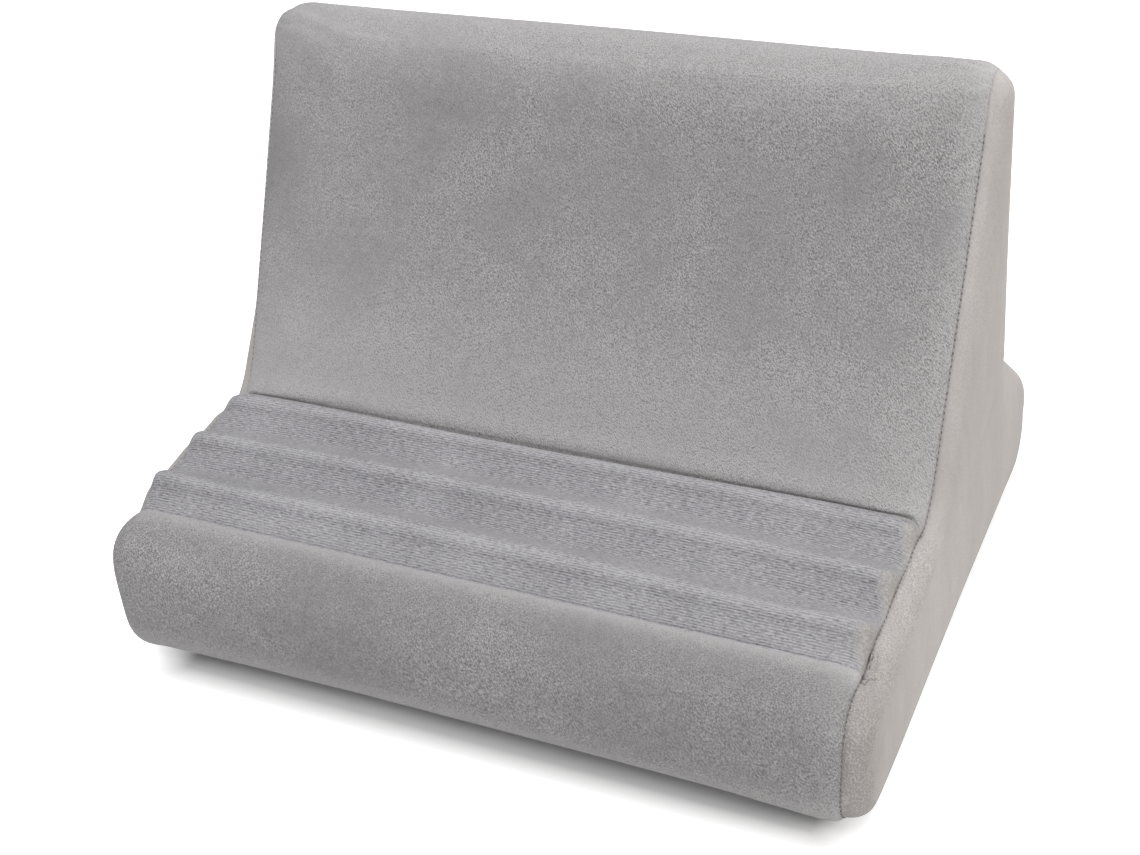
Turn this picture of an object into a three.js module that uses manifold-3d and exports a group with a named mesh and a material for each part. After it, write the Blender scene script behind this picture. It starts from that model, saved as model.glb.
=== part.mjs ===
// Tablet cushion stand: a contour-cut foam core in a sewn plush cover with a ridged ledge,
// closed by a zip along the crease behind the backrest.
// Units are millimetres. X runs along the width, Y from the front to the rear, Z up.
// The origin is on the ground under the middle of the cushion.
import * as THREE from 'three';
import { mergeVertices } from 'three/addons/utils/BufferGeometryUtils.js';
import Module from 'manifold-3d';

const wasm = await Module();
wasm.setup();

// Overall sizes
const seamWidth = 293; // from one end seam to the other
const depth = 263.5; // front of the roll to the end of the tail
const height = 210.5;

// Cover
const plushThick = 2.2;
const knitThick = 1.6;
const gap = 0.3; // between pieces that touch

// Front roll
const rollDepth = 26.5; // front of the roll to the ledge's front seam
const rollHeight = 60;
const rollRoundTop = 19;
const rollRoundFoot = 20;

// Ledge, with its ridges counted from the backrest
const ledgeFrontHeight = 56.5;
const ledgeRise = 10; // front seam to the crease at the backrest
const ridgeCount = 3;
const ridgePitch = 27.5;
const ridgeHeight = 8.7; // at the front of the ledge
const ridgeFall = 0.33; // share of the height that is lost towards the backrest
const ridgeFront = 14.5; // run of a ridge's front; its rear takes the rest of the pitch
const ridgeHollow = 1.6; // above 1 both faces of a ridge are hollow
const ridgeRound = 3.5; // how far the crests are rounded off
const ridgeAtSeam = 0.12; // share of the ridge height that is left at the end seams
const ridgeEndRound = 0.5; // below 1 the ridges keep their height closer to the seams
const rearCrestSetback = 8; // rear crest to the crease

// Backrest
const backrestAngle = THREE.MathUtils.degToRad(67);
const footRun = 6; // soft bend between the crease and the straight of the backrest
const footRise = 5.5;
const footRound = 20;
const topWidth = 19.6; // between the two faces, measured at the full height
const topRoundFront = 12;
const topRoundRear = 10.5;
const backAngle = THREE.MathUtils.degToRad(81.5);

// Tail
const rearCreaseHeight = 86.5;
const tailHeight = 45; // where the slope of the tail would meet its end
const tailRoundTop = 30;
const tailStraight = 3.7; // left upright between the two roundings of its end

// Soft edges at the end seams and pillowed ends
const edgeReach = 10; // width of the rounding along X
const edgeDrop = 3; // how far the end seam is drawn in
const rollDraw = 5; // how much farther it is drawn in at the front of the roll
const baseDraw = 4; // and along the base
const baseDrawHeight = 40; // height at which that has faded out
const topDraw = 1.3; // and over the top of the backrest
const topDrawHeight = 30; // distance below the top at which that has faded out
const endBulge = 2.5; // swell of the foam's ends
const seamThick = 0.6; // cloth of an end panel where it is pinched into its seam
const endBulgeReach = 6;

// Zip in the rear crease
const zipFaceHalf = 7; // crease corner to each edge of the zip face
const zipOpening = 11; // between the panel edges
const zipSetback = 34.5; // end seam to the end of the chain
const tapeWide = 10;
const tapeThick = 0.8;
const tapeBeyond = 5; // tape past its stops
const slit = 1.4; // between the two rows of teeth
const toothPitch = 3.2;
const toothLong = 1.5;
const toothReach = 0.9;
const rowWide = 1.9; // teeth and the bar they stand on
const rowThick = 1.8;
const stopLong = 3;
const stopRound = 0.6;
const sliderLong = 11;
const sliderHalf = 4;
const sliderPlate = 1.2;
const sliderFlange = 0.8;
const sliderWeb = 0.7;
const sliderTaper = 0.5; // how much narrower its tail is on each side
const flangeClear = 0.9; // flanges to the tape
const lugThick = 0.9;
const lugRound = 1.5;
const lugInner = 1.7; // middle of the slider to a lug
const pinRadius = 0.55;
const pullLong = 24;
const pullHalf = 3.2;
const pullThick = 1.2;

// Fineness of the curves
const arcStep = THREE.MathUtils.degToRad(18);
const pointsPerRidge = 12;

// Profile: points are (distance from the front, height), clockwise from the crease
const ledgeDepth = rearCrestSetback + (ridgeCount - 0.5) * ridgePitch;
const frontSeam = new THREE.Vector2(rollDepth, ledgeFrontHeight);
const crease = new THREE.Vector2(rollDepth + ledgeDepth, ledgeFrontHeight + ledgeRise);
const foot = new THREE.Vector2(crease.x + footRun, crease.y + footRise);
const topFront = new THREE.Vector2(foot.x + (height - foot.y) / Math.tan(backrestAngle), height);
const topRear = new THREE.Vector2(topFront.x + topWidth, height);
const rearCrease = new THREE.Vector2(
  topRear.x + (height - rearCreaseHeight) / Math.tan(backAngle),
  rearCreaseHeight,
);
const zipTop = new THREE.Vector2(
  rearCrease.x - zipFaceHalf * Math.cos(backAngle),
  rearCrease.y + zipFaceHalf * Math.sin(backAngle),
);
const tailEnd = new THREE.Vector2(depth, tailHeight);
const tailSlope = tailEnd.clone().sub(rearCrease).normalize();
const zipFoot = rearCrease.clone().addScaledVector(tailSlope, zipFaceHalf);
const tailTurn = Math.PI / 2 - Math.atan2(-tailSlope.y, tailSlope.x);
const tailRoundFoot = tailHeight - tailStraight - tailRoundTop * Math.tan(tailTurn / 2);

// Lines between the corners, each corner rounded by its own arc
function roundedPath(corners) {
  const points = [corners[0].at.clone()];
  for (let i = 1; i < corners.length; i += 1) {
    const { at, round } = corners[i];
    const arrive = at.clone().sub(corners[i - 1].at).normalize();
    let arc = [at];
    if (round) {
      const leave = corners[i + 1].at.clone().sub(at).normalize();
      const turn = Math.atan2(arrive.cross(leave), arrive.dot(leave));
      const start = at.clone().addScaledVector(arrive, -round * Math.tan(Math.abs(turn) / 2));
      const side = new THREE.Vector2(-arrive.y, arrive.x).multiplyScalar(Math.sign(turn));
      const centre = start.clone().addScaledVector(side, round);
      const steps = Math.ceil(Math.abs(turn) / arcStep);
      arc = [];
      for (let k = 0; k <= steps; k += 1) {
        arc.push(start.clone().rotateAround(centre, (turn * k) / steps));
      }
    }
    points.push(...arc);
  }
  return points;
}

// Height of the ridges over the straight ledge; it is nothing at both seams
function ridgeOver(x) {
  const rear = ridgePitch - ridgeFront;
  const sharpPeak = ridgeHeight + ridgeRound / 2;
  const wave = (fromCrease) => {
    const ahead = THREE.MathUtils.euclideanModulo(fromCrease - rearCrestSetback + rear, ridgePitch) - rear;
    const frontFace = sharpPeak * Math.max(1 - ahead / ridgeFront, 0) ** ridgeHollow;
    const rearFace = sharpPeak * Math.max(1 + ahead / rear, 0) ** ridgeHollow;
    const rounded = (frontFace + rearFace - Math.hypot(frontFace - rearFace, ridgeRound)) / 2;
    const left = 1 - ridgeFall * (1 - fromCrease / ledgeDepth);
    return left * Math.max(rounded, 0);
  };
  const share = (x - frontSeam.x) / ledgeDepth;
  return wave(crease.x - x) - wave(0) * share - wave(ledgeDepth) * (1 - share);
}

const backrestPath = roundedPath([
  { at: crease },
  { at: foot, round: footRound },
  { at: topFront, round: topRoundFront },
  { at: topRear, round: topRoundRear },
  { at: zipTop },
]);
const basePath = roundedPath([
  { at: zipFoot },
  { at: tailEnd, round: tailRoundTop },
  { at: new THREE.Vector2(depth, 0), round: tailRoundFoot },
  { at: new THREE.Vector2(0, 0), round: rollRoundFoot },
  { at: new THREE.Vector2(0, rollHeight), round: rollRoundTop },
  { at: frontSeam },
]);
const ledgeSteps = Math.round((ledgeDepth / ridgePitch) * pointsPerRidge);

function ledgePath(ridgeShare) {
  const points = [];
  for (let k = 0; k <= ledgeSteps; k += 1) {
    const at = frontSeam.clone().lerp(crease, k / ledgeSteps);
    at.y += ridgeShare * ridgeOver(at.x);
    points.push(at);
  }
  return points;
}

// Stations along X: each has how far the cover is drawn in there and how much of the ridges is left
const half = seamWidth / 2;
const chainLength = seamWidth - 2 * zipSetback;
const zipEnd = chainLength / 2 + stopLong + tapeBeyond - 2;
const zipClosed = zipEnd + 6;
const rightStations = [{ x: 0, angle: 0 }, { x: zipEnd, angle: 0 }, { x: zipClosed, angle: 0 }];
for (let k = 0; k <= 3; k += 1) {
  const angle = (k * Math.PI) / 6;
  rightStations.push({ x: half - edgeReach + edgeReach * Math.sin(angle), angle });
}
const leftStations = rightStations.slice(1).reverse().map(({ x, angle }) => ({ x: -x, angle }));
const stations = [...leftStations, ...rightStations];

// A whole outline moved inwards by one distance or by one for each point, with its corners mitred
function inset(points, distance) {
  return points.map((at, i) => {
    const before = points[(i + points.length - 1) % points.length];
    const after = points[(i + 1) % points.length];
    const own = Array.isArray(distance) ? distance[i] : distance;
    return at.clone().addScaledVector(outward(before, at, after), -own);
  });
}

function outward(before, at, after) {
  const arrive = at.clone().sub(before).normalize();
  const leave = after.clone().sub(at).normalize();
  const middle = arrive.clone().add(leave).normalize();
  const normal = new THREE.Vector2(-middle.y, middle.x);
  return normal.divideScalar(middle.dot(leave));
}

function outlineAt({ angle }) {
  const ridgeLeft = ridgeAtSeam + (1 - ridgeAtSeam) * Math.max(Math.cos(angle), 0) ** ridgeEndRound;
  const ledge = ledgePath(ridgeLeft).slice(1, -1);
  const whole = [...backrestPath, ...basePath, ...ledge];
  const drawn = whole.map((at) => {
    const front = 1 - THREE.MathUtils.smoothstep(at.x, 0, 2 * rollDepth);
    const low = 1 - THREE.MathUtils.smoothstep(at.y, 0, baseDrawHeight);
    const high = THREE.MathUtils.smoothstep(at.y, height - topDrawHeight, height);
    const most = edgeDrop + rollDraw * front + baseDraw * low + topDraw * high;
    return most * (1 - Math.cos(angle));
  });
  return inset(whole, drawn);
}

// The part of an outline that one panel covers, kept clear of its neighbours at both seams
function panelAt(station, from, count) {
  const outline = outlineAt(station);
  const points = [];
  for (let k = 0; k < count; k += 1) {
    points.push(outline[(from + k) % outline.length].clone());
  }
  const trim = (end, next) => {
    const along = points[next].clone().sub(points[end]).normalize();
    points[end].addScaledVector(along, gap * 0.6);
  };
  trim(0, 1);
  trim(count - 1, count - 2);
  return points;
}

function backrestAt(station) {
  const points = panelAt(station, 0, backrestPath.length);
  points.push(zipEdge(station, -1));
  return points;
}

function baseAt(station) {
  const points = panelAt(station, backrestPath.length, basePath.length);
  points.unshift(zipEdge(station, 1));
  return points;
}

function ledgeAt(station) {
  return panelAt(station, backrestPath.length + basePath.length - 1, ledgeSteps + 1);
}

// Free edge of a panel at the zip: open along the chain, closed up beyond it
function zipEdge(station, side) {
  const outline = outlineAt(station);
  const top = outline[backrestPath.length - 1];
  const bottom = outline[backrestPath.length];
  const middle = top.clone().lerp(bottom, 0.5);
  const along = bottom.clone().sub(top).normalize();
  const open = Math.abs(station.x) <= zipEnd ? zipOpening / 2 : gap * 0.6;
  return middle.addScaledVector(along, side * open);
}

// Inner face of a sheet: each point moved in by the thickness of the cloth
function under(points, thick) {
  return points.map((at, i) => {
    const before = i > 0 ? points[i - 1] : at.clone().multiplyScalar(2).sub(points[1]);
    const last = i === points.length - 1;
    const after = last ? at.clone().multiplyScalar(2).sub(points[i - 1]) : points[i + 1];
    return at.clone().addScaledVector(outward(before, at, after), -thick);
  });
}

// Meshes
function meshOf(name, vertices, triangles, material) {
  const geometry = new THREE.BufferGeometry();
  geometry.setAttribute('position', new THREE.Float32BufferAttribute(vertices, 3));
  geometry.setIndex(triangles);
  geometry.computeVertexNormals();
  const mesh = new THREE.Mesh(geometry, material);
  mesh.name = name;
  return mesh;
}

function place(x, at) {
  return [x, at.x - depth / 2, at.y];
}

// A sheet of cloth through all stations, closed on its four edges
function clothSheet(name, pathAt, thick, material) {
  const outer = stations.map((station) => pathAt(station));
  const inner = outer.map((points) => under(points, thick));
  const count = outer[0].length;
  const vertices = [];
  for (const layer of [outer, inner]) {
    layer.forEach((points, j) => points.forEach((at) => vertices.push(...place(stations[j].x, at))));
  }
  const index = (layer, j, i) => (layer * stations.length + j) * count + i;
  const triangles = [];
  const quad = (a, b, c, d) => triangles.push(a, b, c, a, c, d);
  const lastRow = stations.length - 1;
  const lastPoint = count - 1;
  for (let j = 0; j < lastRow; j += 1) {
    for (let i = 0; i < lastPoint; i += 1) {
      quad(index(0, j, i), index(0, j + 1, i), index(0, j + 1, i + 1), index(0, j, i + 1));
      quad(index(1, j, i), index(1, j, i + 1), index(1, j + 1, i + 1), index(1, j + 1, i));
    }
    quad(index(0, j, 0), index(1, j, 0), index(1, j + 1, 0), index(0, j + 1, 0));
    quad(
      index(0, j, lastPoint),
      index(0, j + 1, lastPoint),
      index(1, j + 1, lastPoint),
      index(1, j, lastPoint),
    );
  }
  for (let i = 0; i < lastPoint; i += 1) {
    quad(index(0, 0, i), index(0, 0, i + 1), index(1, 0, i + 1), index(1, 0, i));
    quad(index(0, lastRow, i), index(1, lastRow, i), index(1, lastRow, i + 1), index(0, lastRow, i + 1));
  }
  return meshOf(name, vertices, triangles, material);
}

// Rings that swell from an end outline into a flat pillow, and the face that closes them
function pillow(outline, insets, x, swell, side) {
  const rings = insets.map((distance) => {
    const share = 1 - Math.min(distance / endBulgeReach, 1);
    const out = swell * Math.sqrt(1 - share * share);
    return inset(outline, distance).map((at) => place(side * (x + out), at));
  });
  const last = inset(outline, insets[insets.length - 1]);
  return { rings, cap: THREE.ShapeUtils.triangulateShape(last, []) };
}

// Joins closed rings in order; the first and last are filled by their caps
function ringSolid(name, rings, firstCap, lastCap, material) {
  const count = rings[0].length;
  const vertices = rings.flat(2);
  const triangles = [];
  for (let r = 0; r + 1 < rings.length; r += 1) {
    for (let i = 0; i < count; i += 1) {
      const next = (i + 1) % count;
      const here = r * count;
      const there = here + count;
      triangles.push(here + i, there + i, there + next, here + i, there + next, here + next);
    }
  }
  const end = (rings.length - 1) * count;
  firstCap.forEach(([a, b, c]) => triangles.push(a, c, b));
  lastCap.forEach(([a, b, c]) => triangles.push(end + a, end + b, end + c));
  const mesh = meshOf(name, vertices, triangles, material);
  const facing = volumeOf(mesh.geometry);
  if (facing < 0) {
    flip(mesh.geometry);
  }
  return mesh;
}

function volumeOf(geometry) {
  const at = geometry.attributes.position;
  const corner = [0, 1, 2].map(() => new THREE.Vector3());
  let total = 0;
  for (let k = 0; k < geometry.index.count; k += 3) {
    corner.forEach((point, n) => point.fromBufferAttribute(at, geometry.index.getX(k + n)));
    total += corner[0].dot(corner[1].clone().cross(corner[2])) / 6;
  }
  return total;
}

function flip(geometry) {
  const index = geometry.index;
  for (let k = 0; k < index.count; k += 3) {
    const second = index.getX(k + 1);
    index.setX(k + 1, index.getX(k + 2));
    index.setX(k + 2, second);
  }
  geometry.computeVertexNormals();
}

const endInsets = [0, 0.15, 0.5, 1].map((share) => share * endBulgeReach);
const endOutline = outlineAt(rightStations[rightStations.length - 1]);

function endPanel(name, side, material) {
  const outerSwell = endBulge + plushThick - seamThick;
  const outer = pillow(endOutline, endInsets, half + gap + seamThick, outerSwell, side);
  const inner = pillow(endOutline, endInsets, half + gap, endBulge, side);
  const rings = [...inner.rings.reverse(), ...outer.rings];
  return ringSolid(name, rings, inner.cap, outer.cap, material);
}

// Solid operations
function solidOf(geometry) {
  const bare = new THREE.BufferGeometry();
  bare.setAttribute('position', geometry.attributes.position.clone());
  if (geometry.index) {
    bare.setIndex(geometry.index.clone());
  }
  const merged = mergeVertices(bare, 1e-4);
  return new wasm.Manifold(new wasm.Mesh({
    numProp: 3,
    vertProperties: new Float32Array(merged.attributes.position.array),
    triVerts: new Uint32Array(merged.index.array),
  }));
}

function meshFrom(name, solid, material) {
  const mesh = solid.getMesh();
  return meshOf(name, Array.from(mesh.vertProperties), Array.from(mesh.triVerts), material);
}

// Frame of the zip: x along the chain, y down the face, z out of it
const zipMiddle = zipTop.clone().lerp(zipFoot, 0.5);
const zipDown = zipFoot.clone().sub(zipTop).normalize();
const zipFrame = new THREE.Matrix4()
  .makeRotationX(-Math.atan2(-zipDown.y, zipDown.x))
  .setPosition(0, zipMiddle.x - depth / 2, zipMiddle.y);

const tapeTop = -plushThick - gap;
const rowTop = tapeTop + gap + rowThick;
const plateUnder = rowTop + gap;
const plateTop = plateUnder + sliderPlate;
const lowerTop = tapeTop - tapeThick - gap;
const lowerUnder = lowerTop - sliderPlate;
const hingeHeight = plateTop + gap + lugRound * 0.6;

// A box in the zip's frame, before it is turned
function zipBox(x0, x1, y0, y1, z0, z1) {
  const box = new THREE.BoxGeometry(x1 - x0, y1 - y0, z1 - z0);
  return box.translate((x0 + x1) / 2, (y0 + y1) / 2, (z0 + z1) / 2);
}

function zipMesh(name, geometry, material) {
  const placed = geometry.clone().applyMatrix4(zipFrame);
  const mesh = new THREE.Mesh(placed, material);
  mesh.name = name;
  return mesh;
}

function foamCore(material) {
  const under = plushThick + gap;
  const rings = [];
  const caps = [];
  const insets = [under, (under + endBulgeReach) / 2, endBulgeReach];
  for (const side of [-1, 1]) {
    const end = pillow(endOutline, insets, half, endBulge, side);
    end.rings[0] = inset(endOutline, under).map((at) => place(side * (half - 0.5), at));
    caps.push(end);
  }
  rings.push(...caps[0].rings.slice().reverse());
  for (const station of stations.slice(1, -1)) {
    rings.push(inset(outlineAt(station), under).map((at) => place(station.x, at)));
  }
  rings.push(...caps[1].rings);
  const whole = ringSolid('foam_core', rings, caps[0].cap, caps[1].cap, material);
  const reach = zipOpening / 2 + tapeWide;
  const channel = zipBox(-zipClosed, zipClosed, -reach, reach, lowerUnder - gap, plateTop + 30);
  channel.applyMatrix4(zipFrame);
  const cut = solidOf(whole.geometry).subtract(solidOf(channel));
  return meshFrom('foam_core', cut, material);
}

function extrude(shape, from, to) {
  const settings = { depth: to - from, bevelEnabled: false, curveSegments: 8 };
  const solid = new THREE.ExtrudeGeometry(shape, settings);
  return solid.translate(0, 0, from);
}

// One row of teeth on its bar; side is 1 for the lower tape
function teethRow(side) {
  const shape = new THREE.Shape();
  const bar = side * (slit / 2 + toothReach);
  const tip = side * (slit / 2);
  const start = -chainLength / 2;
  shape.moveTo(start, side * (slit / 2 + rowWide));
  shape.lineTo(start, bar);
  const teeth = Math.floor(chainLength / toothPitch);
  const shift = side > 0 ? toothPitch / 2 : 0;
  for (let k = 0; k < teeth; k += 1) {
    const x = start + shift + k * toothPitch + 0.05;
    shape.lineTo(x, bar);
    shape.lineTo(x + 0.2, tip);
    shape.lineTo(x + toothLong - 0.2, tip);
    shape.lineTo(x + toothLong, bar);
  }
  shape.lineTo(-start, bar);
  shape.lineTo(-start, side * (slit / 2 + rowWide));
  shape.closePath();
  return extrude(shape, tapeTop + gap, rowTop);
}

function tape(side) {
  const edges = [side * (slit / 2), side * (slit / 2 + tapeWide)];
  const end = chainLength / 2 + stopLong + tapeBeyond;
  return zipBox(-end, end, Math.min(...edges), Math.max(...edges), tapeTop - tapeThick, tapeTop);
}

function stop(x, y0, y1) {
  const shape = new THREE.Shape();
  const corner = stopRound;
  shape.moveTo(x + corner, y0);
  shape.lineTo(x + stopLong - corner, y0);
  shape.quadraticCurveTo(x + stopLong, y0, x + stopLong, y0 + corner);
  shape.lineTo(x + stopLong, y1 - corner);
  shape.quadraticCurveTo(x + stopLong, y1, x + stopLong - corner, y1);
  shape.lineTo(x + corner, y1);
  shape.quadraticCurveTo(x, y1, x, y1 - corner);
  shape.lineTo(x, y0 + corner);
  shape.quadraticCurveTo(x, y0, x + corner, y0);
  return extrude(shape, tapeTop + gap, rowTop);
}

// Slider: two plates on a web, with flanges over the rows and lugs for the pull
const sliderRest = chainLength / 2 - sliderLong / 2 - gap;
const sliderTravel = chainLength - sliderLong - 2 * gap;

function zipSlider() {
  const section = new THREE.Shape();
  const web = sliderWeb / 2;
  const flange = sliderHalf - sliderFlange;
  const flangeFoot = tapeTop + flangeClear;
  section.moveTo(sliderHalf, plateTop);
  section.lineTo(-sliderHalf, plateTop);
  section.lineTo(-sliderHalf, flangeFoot);
  section.lineTo(-flange, flangeFoot);
  section.lineTo(-flange, plateUnder);
  section.lineTo(-web, plateUnder);
  section.lineTo(-web, lowerTop);
  section.lineTo(-sliderHalf, lowerTop);
  section.lineTo(-sliderHalf, lowerUnder);
  section.lineTo(sliderHalf, lowerUnder);
  section.lineTo(sliderHalf, lowerTop);
  section.lineTo(web, lowerTop);
  section.lineTo(web, plateUnder);
  section.lineTo(flange, plateUnder);
  section.lineTo(flange, flangeFoot);
  section.lineTo(sliderHalf, flangeFoot);
  section.closePath();
  const beam = extrude(section, -sliderLong / 2, sliderLong / 2);
  beam.applyMatrix4(new THREE.Matrix4().makeBasis(
    new THREE.Vector3(0, 1, 0),
    new THREE.Vector3(0, 0, 1),
    new THREE.Vector3(1, 0, 0),
  ));
  const plan = new THREE.Shape();
  const nose = sliderLong / 2;
  const tailHalf = sliderHalf - sliderTaper;
  plan.moveTo(-nose, -tailHalf + 1);
  plan.quadraticCurveTo(-nose, -tailHalf, -nose + 1, -tailHalf);
  plan.lineTo(nose - 3, -sliderHalf);
  plan.quadraticCurveTo(nose, -sliderHalf, nose, 0);
  plan.quadraticCurveTo(nose, sliderHalf, nose - 3, sliderHalf);
  plan.lineTo(-nose + 1, tailHalf);
  plan.quadraticCurveTo(-nose, tailHalf, -nose, tailHalf - 1);
  plan.closePath();
  let solid = solidOf(beam).intersect(solidOf(extrude(plan, lowerUnder - 1, plateTop + 1)));
  const lug = new THREE.Shape();
  lug.moveTo(-lugRound, plateTop - 0.4);
  lug.lineTo(lugRound, plateTop - 0.4);
  lug.lineTo(lugRound, hingeHeight);
  lug.absarc(0, hingeHeight, lugRound, 0, Math.PI, false);
  lug.closePath();
  const hole = new THREE.Path();
  hole.absarc(0, hingeHeight, pinRadius + gap, 0, 2 * Math.PI, true);
  lug.holes.push(hole);
  for (const side of [-1, 1]) {
    const inner = side > 0 ? lugInner : -lugInner - lugThick;
    const ear = extrude(lug, inner, inner + lugThick);
    ear.applyMatrix4(new THREE.Matrix4().makeRotationX(Math.PI / 2));
    solid = solid.add(solidOf(ear));
  }
  return solid.translate([sliderRest, 0, 0]);
}

function zipPull() {
  const neck = lugInner - gap;
  const back = lugRound * 0.6;
  const shape = new THREE.Shape();
  shape.moveTo(-back, -neck);
  shape.lineTo(lugRound + 1, -neck);
  shape.quadraticCurveTo(lugRound + 3, -pullHalf, lugRound + 6, -pullHalf);
  shape.lineTo(pullLong - pullHalf, -pullHalf);
  shape.absarc(pullLong - pullHalf, 0, pullHalf, -Math.PI / 2, Math.PI / 2, false);
  shape.lineTo(lugRound + 6, pullHalf);
  shape.quadraticCurveTo(lugRound + 3, pullHalf, lugRound + 1, neck);
  shape.lineTo(-back, neck);
  shape.closePath();
  const eye = new THREE.Path();
  eye.absarc(pullLong - pullHalf, 0, pullHalf * 0.45, 0, 2 * Math.PI, true);
  shape.holes.push(eye);
  const plate = extrude(shape, hingeHeight - pullThick / 2, hingeHeight + pullThick / 2);
  const pinHalf = lugInner + lugThick;
  const pin = new THREE.CylinderGeometry(pinRadius, pinRadius, 2 * pinHalf, 16);
  pin.translate(0, 0, hingeHeight);
  return solidOf(plate).add(solidOf(pin)).translate([sliderRest, 0, 0]);
}

function zipFromSolid(name, solid, material) {
  const mesh = meshFrom(name, solid, material);
  return zipMesh(name, mesh.geometry, material);
}

// Materials
function cloth(color, roughness) {
  return new THREE.MeshStandardMaterial({ color, roughness, metalness: 0 });
}
const plush = cloth('#9d9a9b', 0.95);
const endPlush = cloth('#b3afae', 0.95);
const knit = cloth('#939293', 0.9);
const foam = cloth('#e6e2d6', 0.9);
const tapeCloth = cloth('#7f7d7e', 0.9);
const nylon = cloth('#77757a', 0.5);
const alloy = new THREE.MeshStandardMaterial({ color: '#8c8c90', roughness: 0.4, metalness: 0.9 });

const group = new THREE.Group();
group.name = 'tablet_cushion_stand';
const rowNear = slit / 2;
const rowFar = slit / 2 + rowWide;
const chainEnd = chainLength / 2 + gap;
group.add(
  foamCore(foam),
  clothSheet('backrest_panel', backrestAt, plushThick, plush),
  clothSheet('base_panel', baseAt, plushThick, plush),
  clothSheet('ledge_panel', ledgeAt, knitThick, knit),
  endPanel('left_end_panel', -1, endPlush),
  endPanel('right_end_panel', 1, endPlush),
  zipMesh('zip_tape_upper', tape(-1), tapeCloth),
  zipMesh('zip_tape_lower', tape(1), tapeCloth),
  zipMesh('zip_teeth_upper', teethRow(-1), nylon),
  zipMesh('zip_teeth_lower', teethRow(1), nylon),
  zipFromSolid('zip_slider', zipSlider(), alloy),
  zipFromSolid('zip_pull', zipPull(), alloy),
  zipMesh('zip_top_stop_upper', stop(chainEnd, -rowFar, -rowNear), alloy),
  zipMesh('zip_top_stop_lower', stop(chainEnd, rowNear, rowFar), alloy),
  zipMesh('zip_bottom_stop', stop(-chainEnd - stopLong, -rowFar, rowFar), alloy),
);

export default group;
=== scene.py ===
from math import cos, exp, pi, radians, sin, sqrt, tan
import bpy
import numpy as np
from mathutils import Matrix, Vector


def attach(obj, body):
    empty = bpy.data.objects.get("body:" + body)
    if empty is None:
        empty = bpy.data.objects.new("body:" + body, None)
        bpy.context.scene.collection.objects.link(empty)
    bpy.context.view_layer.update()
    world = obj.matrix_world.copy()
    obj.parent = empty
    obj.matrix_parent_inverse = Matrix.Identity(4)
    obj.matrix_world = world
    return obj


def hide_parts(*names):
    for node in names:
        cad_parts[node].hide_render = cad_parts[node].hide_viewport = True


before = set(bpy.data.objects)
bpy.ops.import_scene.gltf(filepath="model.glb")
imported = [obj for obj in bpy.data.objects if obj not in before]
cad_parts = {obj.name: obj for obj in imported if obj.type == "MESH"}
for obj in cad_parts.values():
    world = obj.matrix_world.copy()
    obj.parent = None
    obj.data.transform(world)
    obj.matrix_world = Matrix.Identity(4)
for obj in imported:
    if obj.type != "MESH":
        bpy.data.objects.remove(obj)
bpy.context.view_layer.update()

scene = bpy.context.scene
mm = 0.001
weldGap = 0.00002


# Camera at the photograph's angle
cameraSet = {
    "place": (0.26626, -0.55047, 0.42612),
    "azimuth": 26.36,
    "down": 30.85,
    "roll": -3.87,
    "lens": 55.7,  # for a 36 mm wide sensor
}


def addCamera():
    data = bpy.data.cameras.new("camera")
    data.sensor_fit = "HORIZONTAL"
    data.sensor_width = 36
    data.lens = cameraSet["lens"]
    data.clip_start = 0.01
    camera = bpy.data.objects.new("camera", data)
    scene.collection.objects.link(camera)
    turn = Matrix.Rotation(radians(cameraSet["azimuth"]), 4, "Z")
    turn = turn @ Matrix.Rotation(radians(90 - cameraSet["down"]), 4, "X")
    turn = turn @ Matrix.Rotation(radians(cameraSet["roll"]), 4, "Z")
    camera.matrix_world = Matrix.Translation(cameraSet["place"]) @ turn
    scene.camera = camera


addCamera()
print("camera placed")


# Cross-section of the cushion, in millimetres: x is the way back from the front, y is up
section = {
    "seamWidth": 293.0,
    "depth": 263.5,
    "height": 210.5,
    "rollDepth": 26.5,
    "rollHeight": 60.0,
    "rollRoundTop": 19.0,
    "rollRoundFoot": 20.0,
    "ledgeFront": 56.5,
    "ledgeRise": 10.0,
    "ridges": 3,
    "ridgePitch": 27.5,
    "ridgeHeight": 8.7,
    "ridgeFall": 0.33,
    "ridgeFront": 14.5,
    "ridgeHollow": 1.6,
    "ridgeRound": 3.5,
    "ridgeAtSeam": 0.12,
    "crestSetback": 8.0,
    "backrestAngle": 67.0,
    "footRun": 6.0,
    "footRise": 5.5,
    "footRound": 20.0,
    "topWidth": 19.6,
    "topRoundFront": 12.0,
    "topRoundRear": 10.5,
    "backAngle": 81.5,
    "rearCrease": 86.5,
    "tailHeight": 45.0,
    "tailRoundTop": 30.0,
    "tailRoundFoot": 26.0,
    "zipFaceHalf": 7.0,
    "zipOpening": 11.0,
    "zipEnd": 118.0,
}
halfWidth = section["seamWidth"] / 2
ledgeDepth = section["crestSetback"] + (section["ridges"] - 0.5) * section["ridgePitch"]
frontSeam = np.array([section["rollDepth"], section["ledgeFront"]])
crease = frontSeam + np.array([ledgeDepth, section["ledgeRise"]])
foot = crease + np.array([section["footRun"], section["footRise"]])
lean = tan(radians(section["backrestAngle"]))
topFront = np.array([foot[0] + (section["height"] - foot[1]) / lean, section["height"]])
topRear = topFront + np.array([section["topWidth"], 0])
backLean = radians(section["backAngle"])
backRun = (section["height"] - section["rearCrease"]) / tan(backLean)
rearCrease = np.array([topRear[0] + backRun, section["rearCrease"]])
tailEnd = np.array([section["depth"], section["tailHeight"]])
tailWay = (tailEnd - rearCrease) / np.linalg.norm(tailEnd - rearCrease)
zipTop = rearCrease + section["zipFaceHalf"] * np.array([-cos(backLean), sin(backLean)])
zipFoot = rearCrease + section["zipFaceHalf"] * tailWay
arcPoints = 40
ledgePoints = 160


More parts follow.
